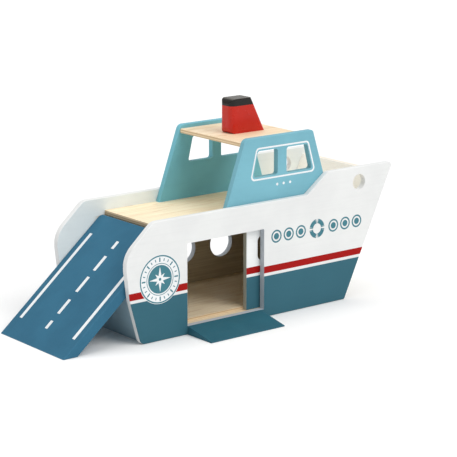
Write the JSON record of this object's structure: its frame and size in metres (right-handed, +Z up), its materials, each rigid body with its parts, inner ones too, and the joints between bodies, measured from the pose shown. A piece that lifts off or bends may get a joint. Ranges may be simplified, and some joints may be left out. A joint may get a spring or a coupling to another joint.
{
  "type": "toy boat",
  "caption": "Wooden toy car ferry with a swing-up stern ramp, a sliding side door with a loading ramp, a drive-through wheelhouse and a funnel.",
  "frame": {"origin": "on the hull's centre plane at the ground plane that the hull sides stand on, 135.7 mm behind the foot of the stem", "axes": "+X towards the bow, +Y to port, +Z up; -Y is starboard, the side with the door"},
  "size_m": [0.4269, 0.1688, 0.224],
  "materials": {
    "livery_paint": "satin painted plywood: white above a red band, white line and teal below it",
    "natural_ply": "clear-varnished birch plywood, satin",
    "grey_blue_paint": "satin grey-blue painted plywood",
    "sky_blue_paint": "satin light blue painted plywood",
    "red_paint": "satin red paint with a black top band on solid wood",
    "mid_blue_paint": "satin blue painted plywood with white road lines",
    "dark_blue_paint": "satin dark blue painted solid wood",
    "dowel_wood": "plain beech dowel, glued",
    "pin_steel": "plain drawn steel pin"
  },
  "bodies": {
    "hull": {"hull_side_starboard": "livery_paint", "hull_side_port": "livery_paint", "main_deck": "natural_ply", "hold_floor": "natural_ply", "bow_board": "natural_ply", "stern_board": "grey_blue_paint", "cabin_side_starboard": "sky_blue_paint", "cabin_side_port": "sky_blue_paint", "cabin_roof": "natural_ply", "funnel": "red_paint", "deck_dowels": "dowel_wood", "floor_dowels": "dowel_wood", "bow_board_dowels": "dowel_wood", "stern_board_dowels": "dowel_wood", "cabin_dowels": "dowel_wood", "roof_dowels": "dowel_wood", "funnel_dowel": "dowel_wood"},
    "stern_ramp_body": {"stern_ramp": "mid_blue_paint", "ramp_pivot_pins": "pin_steel"},
    "side_door_body": {"side_door": "livery_paint"},
    "side_ramp_body": {"side_ramp": "dark_blue_paint", "side_ramp_pegs": "dowel_wood"}
  },
  "joints": [
    {"name": "stern_ramp_hinge", "type": "hinge", "parent": "hull", "child": "stern_ramp_body", "pos_m": [-0.10031, 0, 0.09845], "axis": [0, 1, 0], "range_deg": [0, 135]},
    {"name": "side_door_slide", "type": "slide", "parent": "hull", "child": "side_door_body", "axis": [-1, 0, 0], "range_m": [0, 0.086]},
    {"name": "side_ramp_pull", "type": "slide", "parent": "hull", "child": "side_ramp_body", "axis": [0, -1, 0], "range_m": [0, 0.03]}
  ]
}
